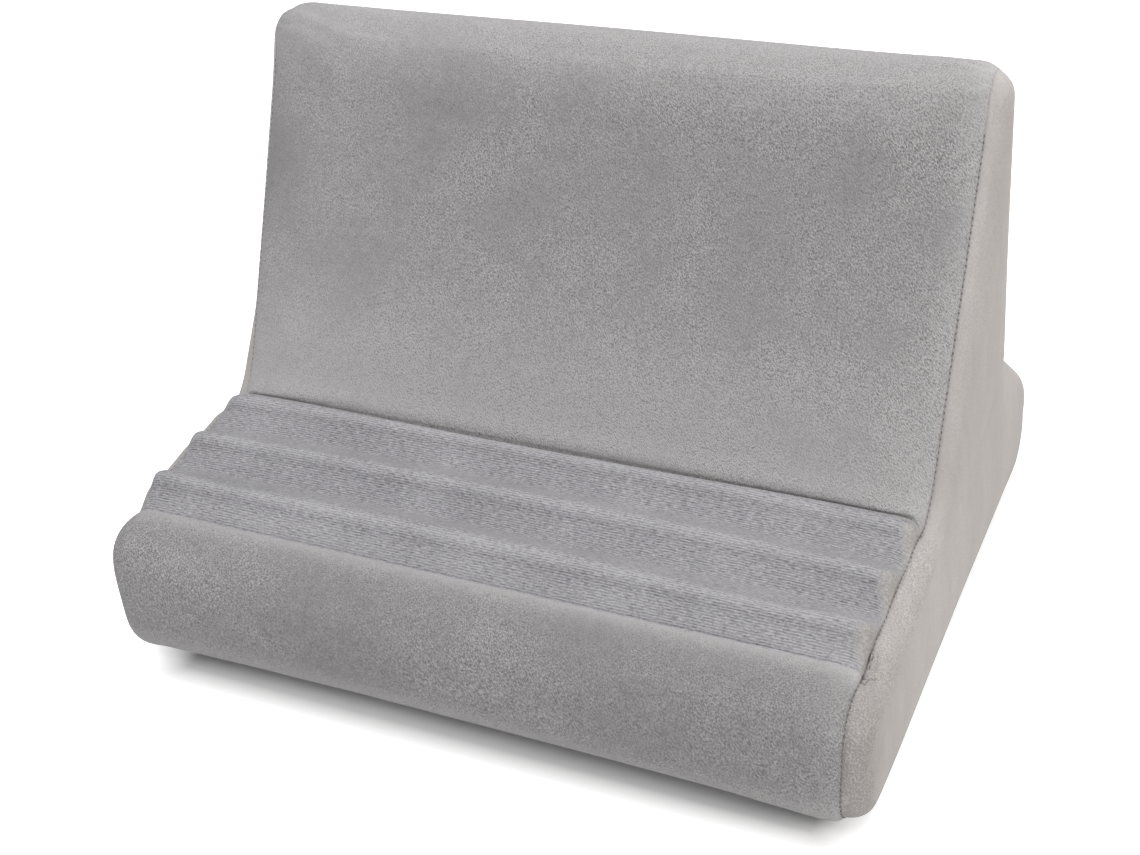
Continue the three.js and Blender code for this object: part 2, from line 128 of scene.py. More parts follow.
def arcAt(before, at, after, radius):
    arrive = (at - before) / np.linalg.norm(at - before)
    leave = (after - at) / np.linalg.norm(after - at)
    turn = np.arctan2(arrive[0] * leave[1] - arrive[1] * leave[0], arrive @ leave)
    start = at - arrive * radius * tan(abs(turn) / 2)
    centre = start + np.sign(turn) * radius * np.array([-arrive[1], arrive[0]])
    angles = np.linspace(0, turn, arcPoints)
    spoke = start - centre
    return np.stack([
        centre[0] + spoke[0] * np.cos(angles) - spoke[1] * np.sin(angles),
        centre[1] + spoke[0] * np.sin(angles) + spoke[1] * np.cos(angles),
    ], 1)


def aheadOfCrest(fromCrease):
    rear = section["ridgePitch"] - section["ridgeFront"]
    return (fromCrease - section["crestSetback"] + rear) % section["ridgePitch"] - rear


def ridgeWave(fromCrease):
    # a hollow front and a hollow rear, blended at the crest
    run = section["ridgeFront"]
    rear = section["ridgePitch"] - run
    ahead = aheadOfCrest(fromCrease)
    peak = 1 + section["ridgeRound"] / section["ridgeHeight"] / 2
    rising = peak * np.maximum(1 - ahead / run, 0) ** section["ridgeHollow"]
    falling = peak * np.maximum(1 + ahead / rear, 0) ** section["ridgeHollow"]
    blend = section["ridgeRound"] / section["ridgeHeight"]
    wave = (rising + falling - np.sqrt((rising - falling) ** 2 + blend ** 2)) / 2
    lower = 1 - section["ridgeFall"] * (1 - fromCrease / ledgeDepth)
    return section["ridgeHeight"] * lower * np.maximum(wave, 0)


def ledgeLine(share):
    x = np.linspace(frontSeam[0], crease[0], ledgePoints)
    part = (x - frontSeam[0]) / ledgeDepth
    over = ridgeWave(crease[0] - x) - ridgeWave(0.0) * part - ridgeWave(ledgeDepth) * (1 - part)
    return np.stack([x, section["ledgeFront"] + section["ledgeRise"] * part + share * over], 1)


def lengths(points):
    return np.concatenate([[0], np.cumsum(np.linalg.norm(np.diff(points, axis=0), axis=1))])


def resample(points, shares):
    run = lengths(points)
    at = np.asarray(shares) * run[-1]
    return np.stack([np.interp(at, run, points[:, 0]), np.interp(at, run, points[:, 1])], 1)


def straight(a, b, count=30):
    return a + (b - a) * np.linspace(0, 1, count)[:, None]


ledgeRun = lengths(ledgeLine(1.0))[-1]
footArc = arcAt(crease, foot, topFront, section["footRound"])
topFrontArc = arcAt(foot, topFront, topRear, section["topRoundFront"])
topRearArc = arcAt(topFront, topRear, zipTop, section["topRoundRear"])
tailFoot = np.array([section["depth"], 0.0])
rollFoot = np.array([0.0, 0.0])
rollTop = np.array([0.0, section["rollHeight"]])
tailTopArc = arcAt(zipFoot, tailEnd, tailFoot, section["tailRoundTop"])
tailFootArc = arcAt(tailEnd, tailFoot, rollFoot, section["tailRoundFoot"])
rollFootArc = arcAt(tailFoot, rollFoot, rollTop, section["rollRoundFoot"])
rollTopArc = arcAt(rollFoot, rollTop, frontSeam, section["rollRoundTop"])
backrestLine = np.concatenate([[crease], footArc, straight(footArc[-1], topFrontArc[0])[1:]])
topLine = np.concatenate([topFrontArc, topRearArc])
backLine = straight(topRearArc[-1], zipTop)
tailSlope = straight(zipFoot, tailTopArc[0])
tailRound = np.concatenate([tailTopArc, tailFootArc])
rollRound = np.concatenate([rollFootArc, rollTopArc])
rollBack = straight(rollTopArc[-1], frontSeam)


# Grid of the cover: how many faces each stretch of the section has
stretch = {
    "backrest": 42,
    "top": 26,
    "back": 38,
    "strip": 4,
    "tail": 14,
    "tailRound": 20,
    "rollRound": 20,
    "rollBack": 8,
    "ledge": 62,
}
nearSeam = [0, 0.8, 1.8, 3.2, 5.0, 7.5, 10.5, 14.0, 18.0, 22.5]  # millimetres from an end seam
seamSteps = [0.06, 0.08, 0.12, 0.2, 0.35, 0.55, 0.8]  # as shares of a whole step
acrossZip = 54


def crowded(count, first, last):
    # shares from 0 to 1 with smaller steps at the ends that are seams
    step = np.ones(count)
    for k, small in enumerate(seamSteps[:count // 2]):
        if first:
            step[k] = small
        if last:
            step[-1 - k] = small
    return np.concatenate([[0], np.cumsum(step)]) / step.sum()


stations = [-(halfWidth - d) for d in nearSeam]
stations += list(np.linspace(-section["zipEnd"], section["zipEnd"], acrossZip + 1))
stations += [halfWidth - d for d in reversed(nearSeam)]
stations = np.array(stations)

# Softness of the cover, in millimetres: pairs are for the left and the right end
soft = {
    "edgeReach": 10.0,  # rounding towards the end seams
    "edgeDrop": (4.5, 3.0),
    "rollDraw": (12.0, 0.5),  # more of it at the front of the roll
    "rollDrawTop": (38.0, 56.0),  # which goes down to a part of it at the top of the roll
    "rollDrawLess": 0.7,
    "baseDraw": (6.0, -1.8),  # and along the base
    "baseDrawTop": 40.0,
    "topReach": (12.0, 6.0),  # rounding at the top corners
    "topBand": 30.0,
    "ledgeKeep": 0.7,  # less rounding at the ends of the ridges
    "ledgeBlend": 0.4,
    "ridgeFade": 0.27,  # how suddenly the ridges go flat there
    "topRise": 1.0,  # the cover stands up a little along the top
    "topRiseMiddle": 1.4,
    "cornerRound": 6.0,  # corner of the ledge where its two seams meet
    "creaseDepth": 1.6,
    "creaseWide": 0.5,
    "frontSeamDepth": 0.4,
    "frontSeamWide": 0.7,
    "seamFade": 2.5,  # both of them level out this near to the end seams
    "endSeamDepth": 0.9,
    "endSeamWide": 1.0,
    "endSeamLess": 0.7,  # at the top
}


def smooth(value, low, high):
    t = np.clip((value - low) / (high - low), 0, 1)
    return t * t * (3 - 2 * t)


def bell(distance, reach):
    return np.exp(-((distance / reach) ** 2))


def nearEnd(x, reach):
    # from 0 to 1 over the last stretch before an end seam
    return max(0.0, min(1.0, (abs(x) - halfWidth + reach) / reach))


def roundOff(share):
    return 1 - sqrt(1 - share * share)


order = ["backrest", "top", "back", "strip", "tail", "tailRound", "base", "rollRound", "rollBack", "ledge"]


def stretchesAt(x):
    # the section at one station before the soft edges, stretch by stretch
    level = 1 - nearEnd(x, soft["edgeReach"]) ** 2
    share = section["ridgeAtSeam"] + (1 - section["ridgeAtSeam"]) * level ** soft["ridgeFade"]
    seamBack = soft["cornerRound"] * roundOff(nearEnd(x, soft["cornerRound"]))
    ledge = ledgeLine(share)
    run = lengths(ledge)
    keep = run <= run[-1] - seamBack
    corner = [np.interp(run[-1] - seamBack, run, ledge[:, k]) for k in (0, 1)]
    ledgePart = np.concatenate([ledge[keep], [corner]])
    backrestPart = np.concatenate([ledgePart[-1:], ledge[~keep], backrestLine])
    zipMiddle = (zipTop + zipFoot) / 2
    zipWay = (zipFoot - zipTop) / np.linalg.norm(zipFoot - zipTop)
    edge = zipWay * section["zipOpening"] / 2
    parts = {
        "backrest": resample(backrestPart, crowded(stretch["backrest"], True, False)),
        "top": resample(topLine, np.linspace(0, 1, stretch["top"] + 1)),
        "back": resample(backLine, crowded(stretch["back"], False, True)),
        "strip": np.array([zipTop, zipMiddle - edge, zipMiddle, zipMiddle + edge, zipFoot]),
        "tail": resample(tailSlope, crowded(stretch["tail"], True, False)),
        "tailRound": resample(tailRound, np.linspace(0, 1, stretch["tailRound"] + 1)),
        "rollRound": resample(rollRound, np.linspace(0, 1, stretch["rollRound"] + 1)),
        "rollBack": resample(rollBack, crowded(stretch["rollBack"], False, True)),
        "ledge": resample(ledgePart, crowded(stretch["ledge"], True, True)),
    }
    bridge = straight(crease, zipFoot, stretch["top"] + 1)
    upper = np.concatenate([parts["rollBack"], parts["ledge"][1:], bridge[1:], parts["tail"][1:]])
    lowX = np.interp(upper[:, 0], [upper[0, 0], upper[-1, 0]], [rollFootArc[0, 0], tailFootArc[-1, 0]])
    parts["base"] = np.stack([lowX[::-1], np.zeros(len(lowX))], 1)
    return parts


def outlineAt(x):
    # the whole section at one station, moved in by the soft edges, and where each stretch starts
    end = 0 if x < 0 else 1
    parts = stretchesAt(x)
    loop = np.concatenate([parts[name][:-1] for name in order])
    sizes = [len(parts[name]) - 1 for name in order]
    starts = np.concatenate([[0], np.cumsum(sizes)])
    where = dict(zip(order, zip(starts, sizes)))
    ledgeStart = where["ledge"][0]
    way = np.roll(loop, -1, 0) - np.roll(loop, 1, 0)
    way /= np.linalg.norm(way, axis=1)[:, None]
    outward = np.stack([-way[:, 1], way[:, 0]], 1)
    front = 1 - smooth(loop[:, 0], 0, 2 * section["rollDepth"])
    front = front * (1 - soft["rollDrawLess"] * smooth(loop[:, 1], *soft["rollDrawTop"]))
    low = 1 - smooth(loop[:, 1], 0, soft["baseDrawTop"])
    high = smooth(loop[:, 1], section["height"] - soft["topBand"], section["height"])
    fromMiddle = np.abs(loop[:, 0] - (frontSeam[0] + crease[0]) / 2) / ledgeDepth * 2
    onLedge = smooth(1 - fromMiddle, 0, soft["ledgeBlend"]) * (np.arange(len(loop)) >= ledgeStart)
    inside = soft["edgeDrop"][end] * (1 - soft["ledgeKeep"] * onLedge)
    inside = inside + soft["rollDraw"][end] * front + soft["baseDraw"][end] * low
    drop = roundOff(nearEnd(x, soft["edgeReach"]))
    topDrop = roundOff(nearEnd(x, soft["topReach"][end]))
    inside *= drop * (1 - high) + topDrop * high
    fromEnd = halfWidth - abs(x)
    sunk = soft["endSeamDepth"] * exp(-((fromEnd / soft["endSeamWide"]) ** 2))
    inside += sunk * (1 - soft["endSeamLess"] * high)
    inside -= (soft["topRise"] + soft["topRiseMiddle"] * (1 - (x / halfWidth) ** 2)) * high
    along = lengths(np.concatenate([loop, loop[:1]]))
    for seam, kind in [(0, "crease"), (ledgeStart, "frontSeam")]:
        gap = np.abs(along[:-1] - along[seam])
        gap = np.minimum(gap, along[-1] - gap)
        inside += soft[kind + "Depth"] * bell(gap, soft[kind + "Wide"]) * smooth(fromEnd, 0, soft["seamFade"])
    return loop - outward * inside[:, None], where


outlines = []
for x in stations:
    points, where = outlineAt(x)
    outlines.append(points)
outlines = np.array(outlines)  # station, point, (x, y)
loopCount = outlines.shape[1]
print("cover laid out:", len(stations), "stations of", loopCount, "points")


def toFrame(x, points):
    wide = np.broadcast_to(x, points.shape[:-1])
    return np.stack([wide, points[..., 0] - section["depth"] / 2, points[..., 1]], -1) * mm


def deselect():
    if bpy.context.object and bpy.context.object.mode != "OBJECT":
        bpy.ops.object.mode_set(mode="OBJECT")
    bpy.ops.object.select_all(action="DESELECT")


def choose(*pieces):
    # only these are selected, and the first is active
    deselect()
    for piece in pieces:
        piece.select_set(True)
    bpy.context.view_layer.objects.active = pieces[0]


def joined(pieces):
    choose(*pieces)
    bpy.ops.object.join()
    return bpy.context.object


def giveFinish(piece, material):
    piece.data.materials.clear()
    piece.data.materials.append(material)


def layGrid(name, places, uvs, form, material, pinned):
    # a grid primitive whose rows and columns are then moved to their places
    rows, columns = places.shape[:2]
    deselect()
    bpy.ops.mesh.primitive_grid_add(x_subdivisions=columns - 1, y_subdivisions=rows - 1, size=1)
    grid = bpy.context.object
    grid.name = grid.data.name = name
    grid.data.vertices.foreach_set("co", places.reshape(-1).astype(np.float32))
    corners = np.zeros(len(grid.data.loops), dtype=np.int32)
    grid.data.loops.foreach_get("vertex_index", corners)
    grid.data.uv_layers[0].name = "cloth"
    grid.data.uv_layers.new(name="form")
    for layer, values in zip(grid.data.uv_layers, (uvs, form)):
        layer.data.foreach_set("uv", values.reshape(-1, 2)[corners].reshape(-1).astype(np.float32))
    grid.data.materials.append(material)
    group = grid.vertex_groups.new(name="seams")
    group.add([int(k) for k in np.nonzero(pinned.reshape(-1))[0]], 1.0, "REPLACE")
    grid.data.update()
    return grid


# Painted light and shade on each panel: how much paler or darker the cloth is painted where light falls or
# shade lies, with its reach in millimetres, and a distance in metres that fades the pattern of the cloth
paintedLightAndGrain = {
    # painted highlight along the crest of each ridge, a little ahead of it
    "crest": (1.0, 1.8),
    "crestAt": 1.7,  # ahead of the ridge's crest
    # painted shade on the steep face just ahead of each crest
    "groove": (-0.5, 1.2),
    "grooveAt": 4.9,
    # painted highlight along the front edge of the ledge, painted shade towards the crease at its rear
    "ledgeFront": (0.6, 9.0),
    "ledgeRearShade": (-0.4, 14.0),
    # painted light bounced from the ledge onto the foot of the backrest
    "backrestFootBounce": (1.7, 50.0),
    # painted shade right above the crease
    "backrestCreaseShade": (-0.9, 5.0),
    # painted highlight along the top edge of the backrest
    "backrestTopHighlight": (30.0, 8.0),  # from and to, below the top
    # painted highlight at the upper end corners of the backrest, by the end seams
    "cornerHighlight": (1.0, 7.0),
    "cornerHighlightRise": (80.0, 140.0),
    # painted shade over the whole base panel
    "base": -0.45,
    # painted highlight along the top edge of the roll
    "rollTop": (2.4, 7.0),
    # painted highlight beside the end seams of the roll
    "rollEndHighlight": (0.5, 9.0),
    # painted light bounced up from the floor onto the low front of the roll
    "rollBounce": 2.2,
    "rollBounceRise": (6.0, 24.0),
    "rollBounceRun": (20.0, 60.0),
    # painted shade on the end panels beside the seam round the roll
    "endShadeByRoll": (-1.2, 10.0),
    "endShadeByRollRun": (12.0, 50.0),
    "endGrain": 9.0,
    "endGrainRun": (80.0, 120.0),
}


# a band of painted light, or of painted shade where the amount is below zero
def lifted(name, distance):
    amount, reach = paintedLightAndGrain[name]
    return amount * bell(distance, reach)


def fromEnds(across):
    # the plain strip of the knit is wider by the right end
    return np.minimum(halfWidth * mm - across, 2.2 * (halfWidth * mm + across))


def ledgeForm(points, middle, along, across):
    ahead = aheadOfCrest(crease[0] - middle[:, 0])
    # painted highlight along the crests and painted shade just ahead of them
    lift = lifted("crest", ahead - paintedLightAndGrain["crestAt"]) + lifted("groove", ahead - paintedLightAndGrain["grooveAt"])
    # painted highlight at the front edge, painted shade towards the crease
    lift = lift + lifted("ledgeFront", along / mm) + lifted("ledgeRearShade", (along[0, -1] - along) / mm)
    faces = smooth(ahead, -3, 1) * (1 - smooth(ahead, 5, 13))
    return lift, fromEnds(across) + 0.8 * knitSet["plainEnd"] * mm * (1 - faces)


def backrestForm(points, middle, along, across):
    fromTop, toTop = paintedLightAndGrain["backrestTopHighlight"]
    # painted bounce light at the foot of the backrest, painted shade right at the crease
    lift = lifted("backrestFootBounce", along / mm) + lifted("backrestCreaseShade", along / mm)
    # painted highlight towards the top edge
    lift = lift + smooth(points[..., 1], section["height"] - fromTop, section["height"] - toTop)
    # painted highlight at the upper corners, by the end seams
    upper = smooth(points[..., 1], *paintedLightAndGrain["cornerHighlightRise"])
    lift = lift + upper * lifted("cornerHighlight", halfWidth - across / mm)
    return lift, 0.1 * (20 * mm - across)


def baseForm(points, middle, along, across):
    # painted highlight along the top edge of the roll, painted shade over the whole base panel
    lift = lifted("rollTop", (along[0, -1] - along) / mm) + paintedLightAndGrain["base"]
    # painted highlight beside the end seams
    lift = lift + lifted("rollEndHighlight", halfWidth - across / mm)
    # painted bounce light low on the front of the roll
    low = 1 - smooth(points[..., 1], *paintedLightAndGrain["rollBounceRise"])
    lift = lift + paintedLightAndGrain["rollBounce"] * low * (1 - smooth(points[..., 0], *paintedLightAndGrain["rollBounceRun"]))
    return lift, np.zeros(across.shape)


def stripForm(points, middle, along, across):
    return np.zeros(across.shape), fromEnds(across)


panelForm = {"backrest": backrestForm, "base": baseForm, "ledge": ledgeForm}


def wrapPanel(name, first, count, material, rows=None):
    # panel over part of the section, through all stations or only some, held at its four edges
    index = (first + np.arange(count + 1)) % loopCount
    rows = np.arange(len(stations)) if rows is None else rows
    points = outlines[rows][:, index]
    places = toFrame(stations[rows][:, None], points)
    middle = outlines[len(stations) // 2][index]
    along = np.broadcast_to(lengths(middle) * mm, places.shape[:2])
    across = np.broadcast_to(stations[rows][:, None] * mm, places.shape[:2])
    lift, edge = panelForm.get(name, stripForm)(points, middle, along, across)
    pinned = np.zeros(places.shape[:2], dtype=bool)
    pinned[:, [0, -1]] = True
    pinned[[0, -1], :] = True
    uvs = np.stack([along, across], -1)
    return layGrid(name, places, uvs, np.stack([lift, edge], -1), material, pinned)


# End panels, in millimetres: a quick rise at the seam, then a slow swell
endSet = {
    "riseReach": 7.0,
    "swell": 2.0,
    "swellReach": 38.0,
    "rightRise": ([0, 50, 130, 260], [8.5, 8.0, 6.4, 5.7]),  # fuller by the roll than by the tail
    "rightTopLess": 0.5,
    "rightTop": (80.0, 140.0),
    "leftRise": ([40, 55, 72, 95], [2.4, 5.6, 6.1, 3.1]),  # by height, fullest by the ledge
    "dip": (14.0, -16.0),  # of the line between its lower and its upper part
    "patternPast": 20.0,
}


def patch(bottom, top, left, right):
    # inside of four edges, blended from all of them
    u = np.linspace(0, 1, len(bottom))[None, :, None]
    v = np.linspace(0, 1, len(left))[:, None, None]
    inner = (1 - v) * bottom[None] + v * top[None] + (1 - u) * left[:, None] + u * right[:, None]
    inner -= (1 - u) * (1 - v) * bottom[0] + u * (1 - v) * bottom[-1] + (1 - u) * v * top[0] + u * v * top[-1]
    return inner


def fromBorder(points, outline):
    best = np.full(points.shape[:-1], 1e9)
    for p, q in zip(outline, np.roll(outline, -1, 0)):
        run = q - p
        t = np.clip(((points - p) @ run) / (run @ run + 1e-12), 0, 1)
        best = np.minimum(best, np.linalg.norm(points - (p + t[..., None] * run), axis=-1))
    return best


def endRise(side, points):
    if side < 0:
        return np.interp(points[..., 1], *endSet["leftRise"])
    less = endSet["rightTopLess"] * smooth(points[..., 1], *endSet["rightTop"])
    return np.interp(points[..., 0], *endSet["rightRise"]) - less


def endPanel(name, side, material):
    outline = outlines[-1 if side > 0 else 0]
    pieces = {}
    for part, (start, size) in where.items():
        pieces[part] = outline[(start + np.arange(size + 1)) % loopCount]
    t = np.linspace(0, 1, stretch["top"] + 1)[:, None]
    dip = outline[0] + np.array(endSet["dip"])
    bridge = (1 - t) ** 2 * outline[0] + 2 * t * (1 - t) * dip + t ** 2 * pieces["tail"][0]
    bottom = pieces["base"][::-1]
    top = np.concatenate([pieces["rollBack"], pieces["ledge"][1:], bridge[1:], pieces["tail"][1:]])
    lower = patch(bottom, top, pieces["rollRound"], pieces["tailRound"][::-1])
    backSide = np.concatenate([pieces["back"], pieces["strip"][1:]])[::-1]
    upper = patch(bridge, pieces["top"], pieces["backrest"], backSide)
    blocks = []
    for tag, points in [("low", lower), ("high", upper)]:
        gap = fromBorder(points, outline)
        quick = 1 - np.clip(gap / endSet["riseReach"], 0, 1)
        slow = 1 - np.clip(gap / endSet["swellReach"], 0, 1)
        out = endRise(side, points) * np.sqrt(1 - quick ** 2) + endSet["swell"] * (1 - slow ** 2)
        places = toFrame(side * (halfWidth + out), points)
        uvs = places[..., 1:3].copy()
        # painted shade beside the seam, by the roll
        lift = (1 - smooth(points[..., 0], *paintedLightAndGrain["endShadeByRollRun"])) * lifted("endShadeByRoll", gap)
        grainy = (1 - smooth(points[..., 0], *paintedLightAndGrain["endGrainRun"])) * bell(gap, paintedLightAndGrain["endGrain"])
        form = np.stack([lift, endSet["patternPast"] * mm * (1 - grainy)], -1)
        blocks.append(layGrid(name + "_" + tag, places, uvs, form, material, gap < 0.01))
    return blocks


def hexColour(code):
    parts = [int(code[k:k + 2], 16) / 255 for k in (1, 3, 5)]
    return [c / 12.92 if c <= 0.04045 else ((c + 0.055) / 1.055) ** 2.4 for c in parts] + [1.0]


def addNode(tree, kind, links=None, sockets=None, **settings):
    made = tree.nodes.new(kind)
    for key, value in settings.items():
        setattr(made, key, value)
    for key, value in (sockets or {}).items():
        made.inputs[key].default_value = value
    for key, source in (links or {}).items():
        tree.links.new(source, made.inputs[key])
    return made


def compute(tree, operation, *terms):
    made = addNode(tree, "ShaderNodeMath", operation=operation)
    for socket, term in zip(made.inputs, terms):
        if isinstance(term, float):
            socket.default_value = term
        else:
            tree.links.new(term, socket)
    return made.outputs[0]


def spread(tree, source, low=0.0, high=1.0, first=0.0, last=1.0):
    # a value from low to high becomes one from first to last
    ends = {"From Min": low, "From Max": high, "To Min": first, "To Max": last}
    return addNode(tree, "ShaderNodeMapRange", {"Value": source}, ends).outputs[0]


def noiseOn(tree, places, scale, detail, roughness=0.5):
    look = {"Scale": scale, "Detail": detail, "Roughness": roughness}
    return addNode(tree, "ShaderNodeTexNoise", {"Vector": places}, look).outputs[0]


def mapped(tree, places, **change):
    return addNode(tree, "ShaderNodeMapping", {"Vector": places}, change).outputs[0]


def clothMap(tree, name):
    return addNode(tree, "ShaderNodeUVMap", uv_map=name).outputs[0]


def split(tree, places):
    return addNode(tree, "ShaderNodeSeparateXYZ", {"Vector": places}).outputs


def objectPlaces(tree):
    return addNode(tree, "ShaderNodeTexCoord").outputs["Object"]


def newMaterial(name, surface):
    made = bpy.data.materials.new(name)
    made.use_nodes = True
    tree = made.node_tree
    shader = tree.nodes["Principled BSDF"]
    for key, value in surface.items():
        shader.inputs[key].default_value = value
    return made, tree, shader


def ramp(tree, source, stops):
    made = addNode(tree, "ShaderNodeValToRGB", {"Fac": source})
    while len(made.color_ramp.elements) < len(stops):
        made.color_ramp.elements.new(0.5)
    for element, (place, colour) in zip(made.color_ramp.elements, stops):
        element.position = place
        element.color = hexColour(colour)
    return made.outputs[0]


def dress(tree, shader, colour, height, strength, distance):
    tree.links.new(colour, shader.inputs["Base Color"])
    bump = addNode(tree, "ShaderNodeBump", {"Height": height}, {"Strength": strength, "Distance": distance})
    tree.links.new(bump.outputs[0], shader.inputs["Normal"])


# Short-pile velour, knitted and brushed: matt, its fine grain of pile tips stronger in some patches
plushSet = {
    "grain": 0.45,  # sizes in millimetres
    "clump": 4.0,
    "patch": 38.0,
    "turn": (0, -0.96, 0),  # the grain lies aslant and is drawn out
    "draw": (0.5, 1, 1),
    "clumpShare": 0.12,
    "patchShare": 0.3,
    "paintedLightShare": 0.12,
    "palest": 0.47,
    "fadeFrom": 0.006,  # metres in from an edge where the grain starts to fade
    "fadeTo": 0.013,
}
plushSurface = {"Roughness": 0.92, "Sheen Weight": 0.1, "Sheen Roughness": 0.6, "Specular IOR Level": 0.15}
plushTone = {"dark": "#717071", "light": "#b3b1b2"}
# the end panels are the same velour painted paler, for the light that falls on the ends from the side
paintedSideLitTone = {"dark": "#969290", "light": "#cac5c3"}


def plushMaterial(name, tone, strength, inner, streak):
    made, tree, shader = newMaterial(name, plushSurface)
    place = objectPlaces(tree)
    turned = mapped(tree, mapped(tree, place, Rotation=plushSet["turn"]), Scale=plushSet["draw"])
    drawn = mapped(tree, place, Scale=(1, 1, streak))
    grain = noiseOn(tree, turned, 1000 / plushSet["grain"], 1.0)
    clump = noiseOn(tree, drawn, 1000 / plushSet["clump"], 3.0, 0.6)
    nap = noiseOn(tree, drawn, 1000 / plushSet["patch"], 3.0, 0.55)
    ruffled = spread(tree, nap, 0.35, 0.65, 0.5 * strength, 1.3 * strength)
    lift, edge = split(tree, clothMap(tree, "form"))[:2]
    fade = spread(tree, edge, plushSet["fadeFrom"], plushSet["fadeTo"], 1.0, inner)
    tips = compute(tree, "SUBTRACT", grain, 0.5)
    tips = compute(tree, "MULTIPLY", tips, fade)
    fine = compute(tree, "MULTIPLY", tips, ruffled)
    raised = compute(tree, "MULTIPLY_ADD", clump, plushSet["clumpShare"], fine)
    raised = compute(tree, "MULTIPLY_ADD", nap, plushSet["patchShare"], raised)
    # painted light and shade from the form map, mixed into the tone
    raised = compute(tree, "MULTIPLY_ADD", lift, plushSet["paintedLightShare"], raised)
    colour = ramp(tree, raised, [(0.0, tone["dark"]), (plushSet["palest"], tone["light"])])
    dress(tree, shader, colour, fine, 0.6, 0.0012)
    return made


# Ribbed anti-slip knit: fine cords side by side along the width, plain where it is stretched at the seams
knitSet = {
    "groove": "#626165",
    "cord": "#aeadb1",
    "plainDark": "#8c8987",
    "plainLight": "#a8a5a2",
    "pitch": 1.0,  # millimetres, as are the next four
    "dashLong": 2.6,
    "dashWide": 0.5,
    "plainEnd": 4.5,
    "plainRear": 3.0,
    "ribShare": 0.09,
    "fuzzShare": 0.45,
    "napShare": 0.2,
    "fadeShare": -0.06,
    "paintedLightShare": 0.12,
    "palest": 0.5,
}
knitSurface = {"Roughness": 0.85, "Sheen Weight": 0.15, "Specular IOR Level": 0.2}


def knitMaterial():
    made, tree, shader = newMaterial("ribbed knit", knitSurface)
    place = objectPlaces(tree)
    cloth = clothMap(tree, "cloth")
    along = split(tree, cloth)[0]
    lift, edge = split(tree, clothMap(tree, "form"))[:2]
    shift = compute(tree, "MULTIPLY", noiseOn(tree, place, 140.0, 2.0), 1.6)
    wave = compute(tree, "MULTIPLY_ADD", along, 2 * pi / (knitSet["pitch"] * mm), shift)
    wave = compute(tree, "SINE", wave)
    laid = mapped(tree, cloth, Scale=(1000 / knitSet["dashWide"], 1000 / knitSet["dashLong"], 1))
    dashes = noiseOn(tree, laid, 1.0, 2.0, 0.6)
    nap = noiseOn(tree, place, 35.0, 3.0)
    fuzz = noiseOn(tree, place, 1100.0, 2.0)
    ribs = compute(tree, "MULTIPLY_ADD", dashes, 0.8, -0.4)
    ribs = compute(tree, "MULTIPLY_ADD", wave, knitSet["ribShare"], ribs)
    endFade = spread(tree, edge, (knitSet["plainEnd"] - 1.5) * mm, (knitSet["plainEnd"] + 2) * mm)
    plainFrom = ledgeRun - knitSet["plainRear"]
    rearFade = spread(tree, along, (plainFrom - 1) * mm, (plainFrom + 1) * mm, 1.0, 0.0)
    fade = compute(tree, "MULTIPLY", endFade, rearFade)
    height = compute(tree, "MULTIPLY", ribs, fade)
    tone = compute(tree, "MULTIPLY_ADD", fuzz, knitSet["fuzzShare"], height)
    tone = compute(tree, "MULTIPLY_ADD", nap, knitSet["napShare"], tone)
    tone = compute(tree, "MULTIPLY_ADD", fade, knitSet["fadeShare"], tone)
    # painted light and shade from the form map, mixed into the tone
    tone = compute(tree, "MULTIPLY_ADD", lift, knitSet["paintedLightShare"], tone)
    ribbed = ramp(tree, tone, [(0.0, knitSet["groove"]), (knitSet["palest"], knitSet["cord"])])
    plain = ramp(tree, fuzz, [(0.3, knitSet["plainDark"]), (0.7, knitSet["plainLight"])])
    colour = addNode(tree, "ShaderNodeMix", {0: fade, 6: plain, 7: ribbed}, data_type="RGBA")
    dress(tree, shader, colour.outputs[2], height, 0.6, 0.0008)
    return made


# Plain materials of the hidden pieces: each a base colour mottled by one noise
plainSet = {
    "cushion foam": {"dark": "#cfc7b3", "light": "#ebe5d5", "size": 1.5, "rough": 0.95},
    "woven tape": {"dark": "#5e5c5e", "light": "#858284", "size": 0.8, "rough": 0.9},
    "moulded nylon": {"dark": "#615f63", "light": "#79777b", "size": 0.6, "rough": 0.45},
    "sewing thread": {"dark": "#66615f", "light": "#857f7c", "size": 0.5, "rough": 0.8},
}


def plainMaterial(name):
    chosen = plainSet[name]
    made, tree, shader = newMaterial(name, {"Roughness": chosen["rough"]})
    mottle = noiseOn(tree, objectPlaces(tree), 1000 / chosen["size"], 3.0)
    colour = ramp(tree, mottle, [(0.35, chosen["dark"]), (0.65, chosen["light"])])
    dress(tree, shader, colour, mottle, 0.3, 0.0004)
    return made


# Painted zinc alloy, die-cast: satin, with a slight orange-peel
def alloyMaterial():
    made, tree, shader = newMaterial("painted zinc alloy", {"Metallic": 0.85})
    peel = noiseOn(tree, objectPlaces(tree), 900.0, 2.0)
    colour = ramp(tree, peel, [(0.3, "#77777b"), (0.7, "#8f8f93")])
    tree.links.new(spread(tree, peel, first=0.32, last=0.48), shader.inputs["Roughness"])
    dress(tree, shader, colour, peel, 0.1, 0.0003)
    return made


plush = plushMaterial("brushed velour", plushTone, 0.95, 0.7, 1.0)
# the same velour, painted paler for the light on the end panels
paintedSideLitPlush = plushMaterial("light velour", paintedSideLitTone, 1.0, 0.3, 0.3)
knit = knitMaterial()
foamStuff = plainMaterial("cushion foam")
tapeStuff = plainMaterial("woven tape")
nylon = plainMaterial("moulded nylon")
threadStuff = plainMaterial("sewing thread")
alloy = alloyMaterial()
print("materials made")


